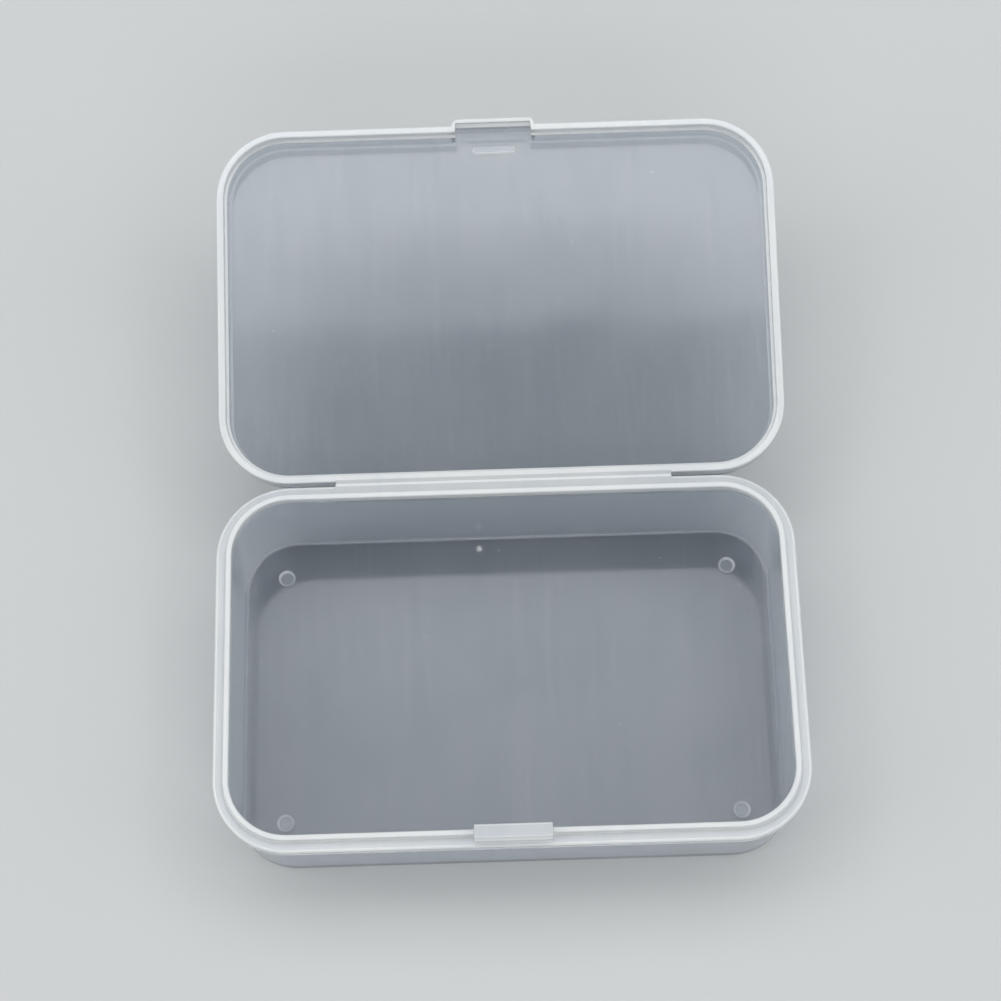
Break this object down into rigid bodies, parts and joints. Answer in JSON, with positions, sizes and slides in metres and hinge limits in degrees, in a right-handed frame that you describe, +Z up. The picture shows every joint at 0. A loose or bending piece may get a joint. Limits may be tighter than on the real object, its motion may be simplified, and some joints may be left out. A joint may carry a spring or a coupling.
{
  "type": "pick holder",
  "caption": "Open pocket box of hazy see-through plastic for guitar picks: deep rounded tray with a stepped rim, shallow hinged lid and a front snap catch.",
  "frame": {"origin": "centre of the tray's flat underside", "axes": "+Z up out of the tray's mouth, +Y towards the hinge and the open lid, +X along the hinge"},
  "size_m": [0.095, 0.1238, 0.0329],
  "materials": {
    "pp_wall": "natural polypropylene, hazy and see-through, satin gloss",
    "pp_rim": "the same plastic where it is seen edge-on, milky white",
    "pp_hinge": "the same plastic, stress-whitened along the fold"
  },
  "bodies": {
    "tray": {"base_floor": "pp_wall", "base_wall": "pp_wall", "base_flange": "pp_rim", "base_lip": "pp_rim", "catch_tab": "pp_rim", "catch_bead": "pp_rim", "gate_vestige": "pp_wall", "base_hinge_leaf": "pp_hinge"},
    "lid": {"lid_panel": "pp_wall", "lid_wall": "pp_wall", "lid_rim": "pp_rim", "clasp_hood": "pp_rim", "clasp_ridge": "pp_rim", "panel_bar": "pp_wall", "lid_hinge_leaf": "pp_hinge"}
  },
  "joints": [
    {"name": "lid_hinge", "type": "hinge", "parent": "tray", "child": "lid", "pos_m": [0, 0.0309, 0.02], "axis": [1, 0, 0], "range_deg": [-22, 168]}
  ]
}
